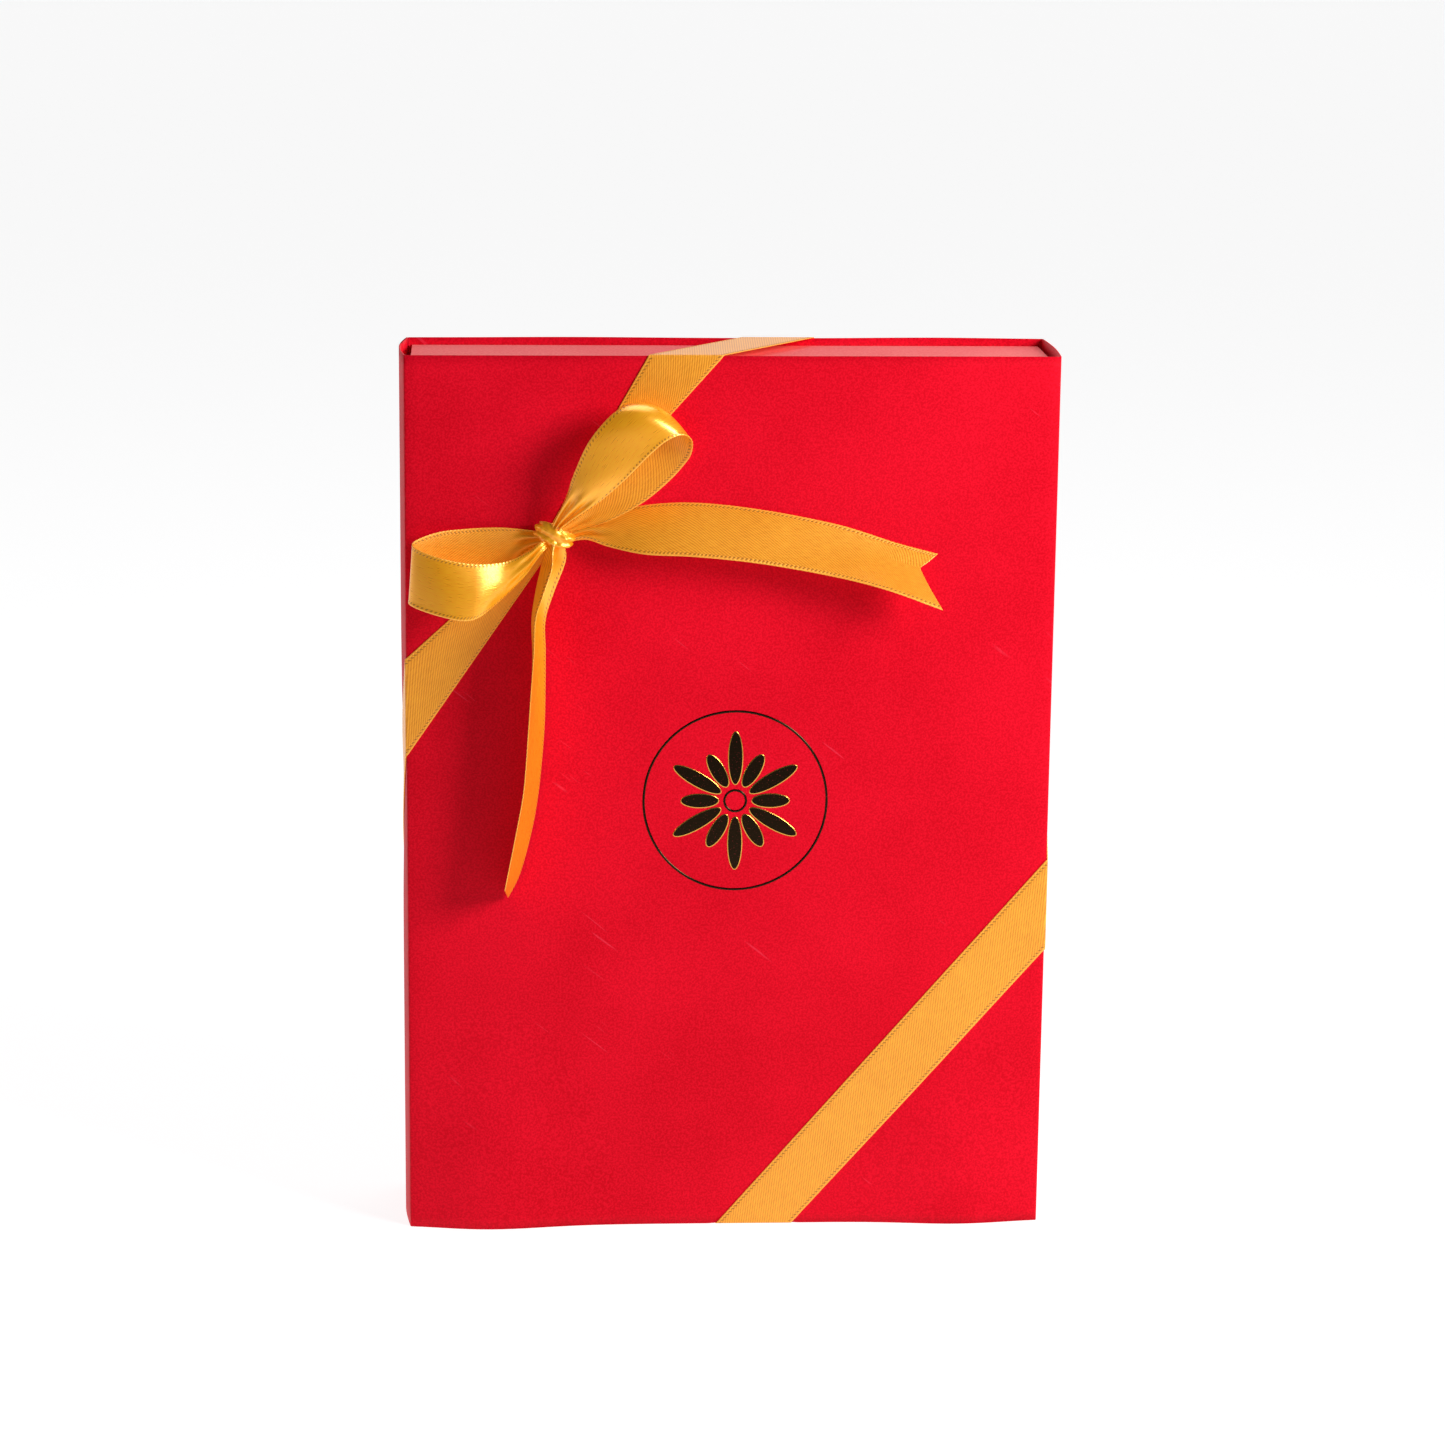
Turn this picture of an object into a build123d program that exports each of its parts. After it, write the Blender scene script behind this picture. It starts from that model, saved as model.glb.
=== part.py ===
from build123d import *

import os

# A flat gift box that stands on end: a folded card sleeve, open at the top and the bottom,
# holds a slide-out tray of wrapped greyboard, and a satin ribbon is tied round both, slanting
# over the upper left and the lower right corner, with a bow on the front.
#
# Millimetres. +X is right and +Z is up as the front is seen, and the front faces -Y.
# The origin is on the surface that the box stands on, in the middle of the sleeve.

# Sleeve
SLEEVE_WIDTH = 220.0
SLEEVE_DEPTH = 46.0
SLEEVE_HEIGHT = 306.0
CARD = 0.5  # card thickness
FOLD_RADIUS = 0.4  # outside of the four long folds
FLAP_WIDTH = 16.0  # glue flap behind the left side panel
FREE_EDGE_GAP = 0.2  # side panel's free edge, short of the back fold
TAPE_THICKNESS = 0.1
TAPE_WIDTH = 10.0
TAPE_END_MARGIN = 6.0

# Tray
TRAY_SIDE_GAP = 1.5
TRAY_FACE_GAP = 0.4
TRAY_RECESS = 2.5  # below the sleeve's top rim
TRAY_FOOT_GAP = 0.4  # above the standing surface, over the ribbon
BOARD = 1.5  # greyboard thickness
WRAP_PAPER = 0.15
STAY_PAPER = 0.1  # gummed paper over each corner joint
STAY_LEG = 12.0
STAY_END_MARGIN = 1.0
LINER_CARD = 0.2
LINER_GAP = 0.2

# Ribbon
RIBBON_WIDTH = 20.0
RIBBON = 0.25  # ribbon thickness
RIBBON_GAP = 0.05  # between ribbon and card
NOTCH_MARGIN = 0.4  # sleeve edge pressed in round the ribbon's bottom run
BOW_RIBBON = 0.4  # thickness of the bow's solids

# Where the ribbon's centre line crosses each edge of the box
LEFT_FRONT_Z = 186.0
TOP_FRONT_X = -16.0
TOP_BACK_X = 18.0
RIGHT_BACK_Z = 179.0
RIGHT_FRONT_Z = 115.5
BOTTOM_FRONT_X = 10.0
BOTTOM_BACK_X = -30.0
LEFT_BACK_Z = 118.5

# Knot
KNOT_FROM_LEFT = 49.6
KNOT_FROM_TOP = 60.6
KNOT_LENGTH = 12.0
KNOT_DEPTH = 7.5
KNOT_HEIGHT = 6.5
KNOT_FILLET = 2.4
KNOT_SLANT = 25.0  # degrees, right end down
KNOT_NECK = 12.0  # ribbon width where it is gathered under the knot
KNOT_LIFT = 0.2  # knot clear of the ribbon behind it
TUCK_GAP = 0.1  # bow ends clear of the knot

# Each band of the bow is ruled between its two long edges. A point is (right of the knot,
# out from the sleeve's front, above the knot).
LEFT_LOOP_UPPER = [
    (-4.6, 3.0, 0.8), (-10.0, 1.8, 2.1), (-17.6, 1.6, 2.8), (-28.6, 2.6, 2.6),
    (-39.2, 6.0, 1.8), (-46.9, 11.5, -1.1), (-38.7, 16.5, -4.7), (-25.8, 18.0, -7.0),
    (-14.5, 15.0, -6.9), (-8.5, 10.0, -4.2), (-4.6, 6.6, -1.4),
]
LEFT_LOOP_LOWER = [
    (-4.6, 3.0, -1.6), (-10.0, 1.6, -6.4), (-18.0, 1.6, -13.4), (-29.6, 1.8, -17.2),
    (-40.6, 4.5, -18.1), (-48.2, 11.5, -21.1), (-36.9, 12.5, -24.5), (-24.3, 12.5, -26.2),
    (-15.6, 11.0, -20.9), (-9.0, 8.4, -13.2), (-4.6, 6.6, -4.2),
]
UPPER_LOOP_NEAR = [
    (2.0, 5.6, 4.6), (3.2, 9.0, 12.5), (6.7, 14.0, 22.8), (11.3, 17.0, 33.3),
    (17.5, 19.0, 41.0), (26.3, 20.0, 40.6), (33.3, 20.0, 38.0), (37.2, 19.0, 34.4),
    (32.0, 17.6, 28.6), (23.6, 15.0, 21.6), (14.1, 11.5, 12.8), (5.6, 7.4, 4.6),
]
UPPER_LOOP_FAR = [
    (3.4, 3.4, 2.8), (10.3, 5.4, 7.5), (18.4, 6.4, 13.4), (26.0, 6.2, 22.6),
    (31.0, 5.4, 31.0), (34.6, 4.0, 38.6), (42.0, 3.0, 38.6), (46.2, 2.6, 31.0),
    (43.1, 3.4, 23.6), (34.2, 4.4, 14.8), (22.4, 5.4, 8.0), (6.6, 5.2, 2.6),
]
RIGHT_TAIL_UPPER = [
    (4.4, 2.4, 0.8), (12.3, 1.2, 4.6), (20.7, 1.0, 8.8), (32.5, 1.0, 11.3), (48.6, 1.2, 11.2),
    (70.5, 1.2, 8.8), (96.3, 1.2, 3.7), (116.0, 1.2, -2.5), (128.3, 1.2, -5.6),
]
RIGHT_TAIL_LOWER = [
    (4.4, 3.4, -1.6), (11.5, 4.6, 0.0), (18.8, 8.0, -2.5), (30.8, 12.1, -4.2), (47.2, 12.8, -5.1),
    (68.6, 13.1, -7.3), (93.4, 14.0, -11.5), (111.6, 16.3, -15.2), (127.7, 16.5, -20.8),
]
DOWN_TAIL_BACK = [
    (0.6, 2.4, -3.0), (0.2, 1.4, -12.7), (-3.1, 1.0, -28.9), (-2.7, 1.0, -54.2), (-3.1, 1.0, -67.7),
    (-4.9, 1.0, -87.7), (-7.3, 1.0, -102.1), (-11.3, 1.0, -117.3), (-14.4, 1.0, -124.4),
]
DOWN_TAIL_FRONT = [
    (-2.6, 5.4, -2.4), (-6.5, 11.0, -10.8), (-8.3, 17.9, -25.4), (-9.0, 19.5, -50.0),
    (-8.7, 19.7, -63.3), (-10.0, 19.8, -83.0), (-12.4, 19.7, -97.2), (-15.3, 18.9, -112.4),
    (-16.5, 17.8, -119.0),
]
# The V cut out of the right tail's end, as (right of the knot, above the knot)
SWALLOWTAIL = [(130.0, -4.3), (121.5, -10.6), (130.0, -24.6)]

half_width = SLEEVE_WIDTH / 2
half_depth = SLEEVE_DEPTH / 2


def block(x_range, y_range, z_range):
    """A box between two values on each axis."""
    size = [high - low for low, high in (x_range, y_range, z_range)]
    centre = [(high + low) / 2 for low, high in (x_range, y_range, z_range)]
    return Pos(*centre) * Box(*size)


def mirrored(reach):
    """The range from -reach to +reach."""
    return (-reach, reach)


# --- Ribbon path, which the sleeve's bottom edges make room for --------------------------------

left, right = Vector(-1, 0, 0), Vector(1, 0, 0)
front, back = Vector(0, -1, 0), Vector(0, 1, 0)
up = Vector(0, 0, 1)
ribbon_surface = RIBBON_GAP + RIBBON

# Each crossing of a box edge, in order round the box: its middle, the edge's direction and the
# way out from the edge.
path = {
    "left_front": (Vector(-half_width, -half_depth, LEFT_FRONT_Z), up, left + front),
    "top_front": (Vector(TOP_FRONT_X, -half_depth, SLEEVE_HEIGHT), right, up + front),
    "top_back": (Vector(TOP_BACK_X, half_depth, SLEEVE_HEIGHT), right, up + back),
    "right_back": (Vector(half_width, half_depth, RIGHT_BACK_Z), up, right + back),
    "right_front": (Vector(half_width, -half_depth, RIGHT_FRONT_Z), up, right + front),
    "bottom_front": (Vector(BOTTOM_FRONT_X, -half_depth, 0), right, front),
    "bottom_back": (Vector(BOTTOM_BACK_X, half_depth, 0), right, back),
    "left_back": (Vector(-half_width, half_depth, LEFT_BACK_Z), up, left + back),
}
names = list(path)


def crossing(name, spread=0.0):
    """The ribbon's low and high corners on a box edge, spread apart if asked."""
    point, edge, _ = path[name]
    index = names.index(name)
    neighbours = (names[index - 1], names[(index + 1) % len(names)])
    sines = [(path[other][0] - point).normalized().cross(edge).length for other in neighbours]
    reach = edge * (RIBBON_WIDTH / 4 * (1 / sines[0] + 1 / sines[1]) + spread)
    return point - reach, point + reach


# --- Sleeve: one folded sheet, with its glue flap inside the left side panel -------------------

flap_face = -half_width + CARD + TAPE_THICKNESS
full_height = (0, SLEEVE_HEIGHT)
front_panel = block(mirrored(half_width), (-half_depth, -half_depth + CARD), full_height)
right_panel = block((half_width - CARD, half_width), mirrored(half_depth), full_height)
back_panel = block((flap_face, half_width), (half_depth - CARD, half_depth), full_height)
left_panel = block(
    (-half_width, -half_width + CARD), (-half_depth, half_depth - FREE_EDGE_GAP), full_height
)
glue_flap = block((flap_face, flap_face + CARD), (half_depth - FLAP_WIDTH, half_depth), full_height)
sleeve = front_panel + right_panel + back_panel + left_panel + glue_flap
fold_lines = [
    (-half_width, -half_depth),
    (half_width, -half_depth),
    (half_width, half_depth),
    (flap_face, half_depth),
]
upright_edges = sleeve.edges().filter_by(Axis.Z)
folds = [
    upright_edges.sort_by_distance((x, y, SLEEVE_HEIGHT / 2)).first for x, y in fold_lines
]
sleeve = fillet(folds, FOLD_RADIUS)
# The bottom edges are pressed in where the ribbon runs under them.
under_run = (path["bottom_back"][0] - path["bottom_front"][0]).normalized()
notch_front = [corner - under_run for corner in crossing("bottom_front", NOTCH_MARGIN)]
notch_back = [corner + under_run for corner in crossing("bottom_back", NOTCH_MARGIN)]
notch = make_face(Polyline(*notch_front, *reversed(notch_back), close=True))
sleeve = sleeve - extrude(notch, amount=ribbon_surface, dir=up)

tape_back = half_depth - (FLAP_WIDTH - TAPE_WIDTH) / 2
seam_tape = block(
    (-half_width + CARD, flap_face),
    (tape_back - TAPE_WIDTH, tape_back),
    (TAPE_END_MARGIN, SLEEVE_HEIGHT - TAPE_END_MARGIN),
)

# --- Tray: five boards, taped at the corners, wrapped outside and in, lined on the base --------

tray_x = half_width - CARD - TRAY_SIDE_GAP
tray_y = half_depth - CARD - TRAY_FACE_GAP
tray_z = (TRAY_FOOT_GAP, SLEEVE_HEIGHT - TRAY_RECESS)

skin = WRAP_PAPER + STAY_PAPER
board_x = tray_x - skin
board_back = tray_y - skin
board_z = (tray_z[0] + skin, tray_z[1] - skin)
base_front = board_back - BOARD
inner_x = board_x - BOARD
inner_z = (board_z[0] + BOARD, board_z[1] - BOARD)
wall_y = (-tray_y + WRAP_PAPER, base_front)

tray_base_board = block(mirrored(board_x), (base_front, board_back), board_z)
tray_wall_left = block((-board_x, -inner_x), wall_y, board_z)
tray_wall_right = block((inner_x, board_x), wall_y, board_z)
tray_wall_bottom = block(mirrored(inner_x), wall_y, (board_z[0], inner_z[0]))
tray_wall_top = block(mirrored(inner_x), wall_y, (inner_z[1], board_z[1]))


def corner_stay(side, end):
    """A strip of gummed paper bent round one corner of the boards; side and end are -1 or 1."""
    corner_z = board_z[1] if end > 0 else board_z[0]
    along = (wall_y[0] + STAY_END_MARGIN, wall_y[1] - STAY_END_MARGIN)
    outer_x = side * (board_x + STAY_PAPER)
    outer_z = corner_z + end * STAY_PAPER
    wall_leg = block(
        sorted((side * board_x, outer_x)), along, sorted((outer_z, corner_z - end * STAY_LEG))
    )
    end_leg = block(
        sorted((outer_x, side * (board_x - STAY_LEG))), along, sorted((corner_z, outer_z))
    )
    return wall_leg + end_leg


outside = block(mirrored(tray_x), mirrored(tray_y), tray_z)
board_room = block(
    mirrored(tray_x - WRAP_PAPER),
    mirrored(tray_y - WRAP_PAPER),
    (tray_z[0] + WRAP_PAPER, tray_z[1] - WRAP_PAPER),
)
turn_in = block(mirrored(inner_x), (-tray_y, base_front), inner_z)
hollow = block(
    mirrored(inner_x - WRAP_PAPER),
    (-tray_y, base_front),
    (inner_z[0] + WRAP_PAPER, inner_z[1] - WRAP_PAPER),
)
tray_wrap = outside - board_room + turn_in - hollow

liner_margin = WRAP_PAPER + LINER_GAP
tray_liner = block(
    mirrored(inner_x - liner_margin),
    (base_front - LINER_CARD, base_front),
    (inner_z[0] + liner_margin, inner_z[1] - liner_margin),
)

# --- Ribbon: the run round the box, then the knot, loops and tails -----------------------------

knot = Vector(-half_width + KNOT_FROM_LEFT, -half_depth, SLEEVE_HEIGHT - KNOT_FROM_TOP)


def fold_section(name):
    """The ribbon's cut across a fold: its two inner corners, then its two outer ones."""
    low, high = crossing(name)
    outward = path[name][2]
    inner = outward * RIBBON_GAP
    if name.startswith("bottom"):
        # The bottom run lies on the standing surface, in the sleeve's notches.
        inner = inner + up * RIBBON
    outer = outward * ribbon_surface
    return [low + inner, high + inner, low + outer, high + outer]


def gathered_section():
    """The ribbon's cut under the knot, where it is drawn in."""
    along = (path["top_front"][0] - path["left_front"][0]).normalized()
    across = front.cross(along) * (KNOT_NECK / 2)
    inner, outer = knot + front * RIBBON_GAP, knot + front * ribbon_surface
    return [inner - across, inner + across, outer - across, outer + across]


def turned_alike(section, previous):
    """The section with its two sides in the order of the section before it."""
    low, high = section[0], section[1]
    alike = (low - previous[0]).length + (high - previous[1]).length
    crossed = (high - previous[0]).length + (low - previous[1]).length
    if crossed < alike:
        return [section[1], section[0], section[3], section[2]]
    return section


def facet(*corners):
    """A flat face on three or four corners."""
    return Face(Wire.make_polygon(corners, close=True))


sections = [fold_section("left_front")]
for section in (gathered_section(), *(fold_section(name) for name in names[1:])):
    sections.append(turned_alike(section, sections[-1]))
facets = []
for here, there in zip(sections, sections[1:] + sections[:1]):
    facets.append(facet(here[0], here[1], there[1], there[0]))
    facets.append(facet(here[2], here[3], there[3], there[2]))
    for side in (0, 1):
        facets.append(facet(here[side], here[side + 2], there[side + 2]))
        facets.append(facet(here[side], there[side + 2], there[side]))
ribbon_wrap = Solid(Shell(facets))


def knot_block(grow=0.0):
    """The tight wrap of the knot, slanted, and grown evenly if asked."""
    size = [length + 2 * grow for length in (KNOT_LENGTH, KNOT_DEPTH, KNOT_HEIGHT)]
    body = Box(*size)
    body = fillet(body.edges(), KNOT_FILLET)
    centre = knot + front * (ribbon_surface + KNOT_LIFT + KNOT_DEPTH / 2)
    return Pos(centre) * Rot(0, KNOT_SLANT, 0) * body


def edge_curve(points):
    """A smooth curve through points given as (right, out, above) of the knot."""
    return Edge.make_spline([knot + Vector(across, -out, above) for across, out, above in points])


def band(first_points, second_points):
    """A thin band ruled between its two long edges, ending clear of the knot."""
    ruled = Face.make_surface_from_curves(edge_curve(first_points), edge_curve(second_points))
    thick = thicken(ruled, amount=BOW_RIBBON)
    return thick - knot_block(TUCK_GAP)


bow_knot = knot_block()
bow_loop_left = band(LEFT_LOOP_UPPER, LEFT_LOOP_LOWER)
bow_loop_upper = band(UPPER_LOOP_NEAR, UPPER_LOOP_FAR)
tail_notch = make_face(
    Polyline(*[knot + Vector(across, 0, above) for across, above in SWALLOWTAIL], close=True)
)
bow_tail_right = band(RIGHT_TAIL_UPPER, RIGHT_TAIL_LOWER)
bow_tail_right = bow_tail_right - extrude(tail_notch, amount=SLEEVE_DEPTH, dir=front)
bow_tail_down = band(DOWN_TAIL_BACK, DOWN_TAIL_FRONT)

# --- Files ---------------------------------------------------------------------------------------

parts = {
    "sleeve": sleeve,
    "seam_tape": seam_tape,
    "tray_base_board": tray_base_board,
    "tray_wall_left": tray_wall_left,
    "tray_wall_right": tray_wall_right,
    "tray_wall_top": tray_wall_top,
    "tray_wall_bottom": tray_wall_bottom,
    "tray_stay_top_left": corner_stay(-1, 1),
    "tray_stay_top_right": corner_stay(1, 1),
    "tray_stay_bottom_left": corner_stay(-1, -1),
    "tray_stay_bottom_right": corner_stay(1, -1),
    "tray_wrap": tray_wrap,
    "tray_liner": tray_liner,
    "ribbon_wrap": ribbon_wrap,
    "bow_knot": bow_knot,
    "bow_loop_left": bow_loop_left,
    "bow_loop_upper": bow_loop_upper,
    "bow_tail_right": bow_tail_right,
    "bow_tail_down": bow_tail_down,
}

os.makedirs("parts", exist_ok=True)
for name, part in parts.items():
    export_step(part, f"parts/{name}.step")
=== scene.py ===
import logging
import math
from collections.abc import Callable
from dataclasses import dataclass
from enum import Enum
from typing import TypeAlias

import bmesh
import bpy
from mathutils import Matrix, Vector, noise


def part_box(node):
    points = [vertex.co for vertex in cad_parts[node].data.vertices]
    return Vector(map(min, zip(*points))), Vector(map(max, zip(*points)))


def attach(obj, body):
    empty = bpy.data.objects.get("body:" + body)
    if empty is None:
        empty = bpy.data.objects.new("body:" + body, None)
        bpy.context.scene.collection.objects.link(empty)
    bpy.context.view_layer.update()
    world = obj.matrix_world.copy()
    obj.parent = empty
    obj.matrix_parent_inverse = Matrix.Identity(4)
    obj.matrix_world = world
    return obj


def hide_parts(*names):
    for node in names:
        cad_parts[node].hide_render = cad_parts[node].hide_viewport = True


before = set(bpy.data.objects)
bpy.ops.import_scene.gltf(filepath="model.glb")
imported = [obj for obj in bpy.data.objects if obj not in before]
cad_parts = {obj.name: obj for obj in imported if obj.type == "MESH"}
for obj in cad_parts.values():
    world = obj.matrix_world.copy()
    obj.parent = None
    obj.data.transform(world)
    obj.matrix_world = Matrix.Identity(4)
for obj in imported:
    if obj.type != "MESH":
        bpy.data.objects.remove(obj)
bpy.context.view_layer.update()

MM = 0.001
SAME = 1e-9  # how near two distances along a ribbon are when they count as one, in metres
LEVEL = 1e-6  # the same for heights and lengths of Blender's single-precision vectors
WEAVE_MAP = "weave"
log = logging.getLogger("gift_box")

Colour: TypeAlias = tuple[float, float, float]
Place: TypeAlias = tuple[float, float, float]
Surface: TypeAlias = Callable[[float, float], Vector]
Number: TypeAlias = "Value | float"
Source: TypeAlias = "Value | float | str | tuple[float, ...]"


# --- Shader graphs ---


class Value:
    """A shader socket that Python's operators work on."""

    def __init__(self, graph: "Graph", socket: bpy.types.NodeSocket) -> None:
        """Wrap a socket.

        Args:
            graph: The graph that new nodes go into.
            socket: The output socket that holds the value.
        """
        self.graph = graph
        self.socket = socket

    def _math(self, operation: str, first: Number, second: Number) -> "Value":
        """Add a Math node on two values."""
        return self.graph.node("ShaderNodeMath", {"operation": operation}, {0: first, 1: second})

    def __add__(self, other: Number) -> "Value":
        """self + other"""
        return self._math("ADD", self, other)

    def __radd__(self, other: Number) -> "Value":
        """other + self"""
        return self._math("ADD", other, self)

    def __sub__(self, other: Number) -> "Value":
        """self - other"""
        return self._math("SUBTRACT", self, other)

    def __rsub__(self, other: Number) -> "Value":
        """other - self"""
        return self._math("SUBTRACT", other, self)

    def __mul__(self, other: Number) -> "Value":
        """self * other"""
        return self._math("MULTIPLY", self, other)

    def __rmul__(self, other: Number) -> "Value":
        """other * self"""
        return self._math("MULTIPLY", other, self)

    def sine(self) -> "Value":
        """The sine of the value, in radians, as 0 to 1."""
        return self._math("SINE", self, 0.0) * 0.5 + 0.5

    def least(self, other: Number) -> "Value":
        """The smaller of the two values."""
        return self._math("MINIMUM", self, other)

    def ramp(self, start: float, end: float) -> "Value":
        """Spread a range of the value over 0 to 1, smoothed and held beyond.

        Args:
            start: What becomes 0.
            end: What becomes 1.

        Returns:
            The spread value.
        """
        return self.graph.node(
            "ShaderNodeMapRange",
            {"interpolation_type": "SMOOTHSTEP"},
            {"Value": self, "From Min": start, "From Max": end},
        )


class Graph:
    """A shader and the nodes that feed it."""

    def __init__(self, holder: bpy.types.Material | bpy.types.World, shader: str) -> None:
        """Take the nodes of a material or a world.

        Args:
            holder: What the nodes belong to.
            shader: The name of its shader's node.
        """
        holder.use_nodes = True
        self.holder = holder
        self.shader = holder.node_tree.nodes[shader]

    @classmethod
    def new(cls, name: str) -> "Graph":
        """Make a material with a finish's name."""
        return cls(bpy.data.materials.new(name), "Principled BSDF")

    def node(self, kind: str, settings: dict | None = None, inputs: dict | None = None,
             output: int | str = 0) -> Value:
        """Add one node.

        Args:
            kind: The node's type.
            settings: Its properties, set first.
            inputs: Values or links of its sockets, by index or name.
            output: The output that is wanted.

        Returns:
            The wanted output.
        """
        made = self.holder.node_tree.nodes.new(kind)
        for key, value in (settings or {}).items():
            setattr(made, key, value)
        for key, value in (inputs or {}).items():
            self.feed(made.inputs[key], value)
        return Value(self, made.outputs[output])

    def feed(self, socket: bpy.types.NodeSocket, value: Source) -> None:
        """Link a Value to a socket, or set the socket's own number or colour.

        Args:
            socket: The socket that is fed.
            value: What it is fed.
        """
        if isinstance(value, Value):
            self.holder.node_tree.links.new(value.socket, socket)
        else:
            socket.default_value = value

    def mix(self, factor: Number, first: Source, second: Source) -> Value:
        """Blend two colours.

        Args:
            factor: 0 for the first colour, 1 for the second.
            first: A colour or a Value.
            second: A colour or a Value.

        Returns:
            The blended colour.
        """
        settings = {"data_type": "RGBA", "clamp_factor": True}
        return self.node("ShaderNodeMix", settings, {0: factor, 6: first, 7: second}, output=2)

    def place(self) -> Value:
        """The point on the object, in metres."""
        return self.node("ShaderNodeTexCoord", output="Object")

    def axes(self, vector: Value) -> tuple[Value, Value, Value]:
        """Split a vector.

        Args:
            vector: The vector.

        Returns:
            Its x, y and z.
        """
        first = self.node("ShaderNodeSeparateXYZ", inputs={0: vector})
        parts = first.socket.node.outputs
        return first, Value(self, parts[1]), Value(self, parts[2])

    def grain(self, vector: Value, size: float, detail: float = 2.0,
              stretch: Place = (1.0, 1.0, 1.0)) -> Value:
        """Noise with features of about one size.

        Args:
            vector: Where it is read.
            size: The features' size, in the vector's own unit.
            detail: Octaves of finer noise on top.
            stretch: How much finer the noise is along each axis.

        Returns:
            Noise from 0 to 1.
        """
        scaled = self.node("ShaderNodeMapping", {"vector_type": "POINT"},
                           {"Vector": vector, "Scale": stretch})
        return self.node("ShaderNodeTexNoise", {"noise_dimensions": "3D"},
                         {"Vector": scaled, "Scale": 1.0 / size, "Detail": detail})

    def finish(self, height: Value, depth: float, **sockets: Source) -> bpy.types.Material:
        """Feed the shader.

        Args:
            height: The surface's relief, from 0 to 1.
            depth: How deep the relief is, in metres.
            sockets: The shader's sockets, with underscores for spaces.

        Returns:
            The material.
        """
        normal = self.node("ShaderNodeBump", {}, {"Distance": depth, "Height": height})
        self.feed(self.shader.inputs["Normal"], normal)
        for name, value in sockets.items():
            self.feed(self.shader.inputs[name.replace("_", " ")], value)
        return self.holder


def shade(red: float, green: float, blue: float) -> tuple[float, float, float, float]:
    """Turn display values of 0 to 255 into a linear colour.

    Args:
        red: The red value.
        green: The green value.
        blue: The blue value.

    Returns:
        The colour, with an alpha of 1.
    """
    parts = [channel / 255 for channel in (red, green, blue)]
    linear = [c / 12.92 if c <= 0.04045 else ((c + 0.055) / 1.055) ** 2.4 for c in parts]
    return (*linear, 1.0)


# --- Finishes ---


@dataclass(frozen=True)
class FeltedCard:
    """Dyed paper or card with a soft felted grain and a few slanting scuffs.

    Colours are display values of 0 to 255, and sizes are in metres.
    """

    deep: Colour
    light: Colour
    grain_size: float = 0.9 * MM
    cloud_size: float = 45 * MM
    relief: float = 0.05 * MM
    roughness: float = 0.55
    shine: float = 0.12
    sheen_tint: Colour = (255, 178, 172)
    scuffs: float = 0.5
    scuff_width: float = 1.1 * MM
    scuff_area: float = 30 * MM
    scuff_lean: float = 0.9
    scuff_paler: float = 60.0

    def material(self, name: str) -> bpy.types.Material:
        """Make the finish a material.

        Args:
            name: The material's name.

        Returns:
            The material.
        """
        graph = Graph.new(name)
        place = graph.place()
        fine = graph.grain(place, self.grain_size, 3.0)
        broad = graph.grain(place, self.cloud_size, 2.0)
        mottle = fine.ramp(0.36, 0.64) * 0.65 + broad.ramp(0.3, 0.7) * 0.35
        colour = graph.mix(mottle, shade(*self.deep), shade(*self.light))
        lean = {"Vector": place, "Rotation": (0, self.scuff_lean, 0)}
        leaning = graph.node("ShaderNodeMapping", inputs=lean)
        streak = graph.grain(leaning, self.scuff_width, 0.0, (1.0, 1.0, 0.05))
        where = graph.grain(place, self.scuff_area, 1.0)
        scuff = streak.ramp(0.74, 0.8) * where.ramp(0.58, 0.66) * self.scuffs
        pale = tuple(min(255.0, channel + self.scuff_paler) for channel in self.light)
        colour = graph.mix(scuff * 0.55, colour, shade(*pale))
        height = fine * 0.8 + graph.grain(place, self.grain_size * 0.35, 1.0) * 0.2
        return graph.finish(
            height, self.relief, Base_Color=colour,
            Roughness=self.roughness + (fine - 0.5) * 0.25 - scuff * 0.1,
            Specular_IOR_Level=self.shine, Specular_Tint=shade(*self.sheen_tint),
        )


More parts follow.
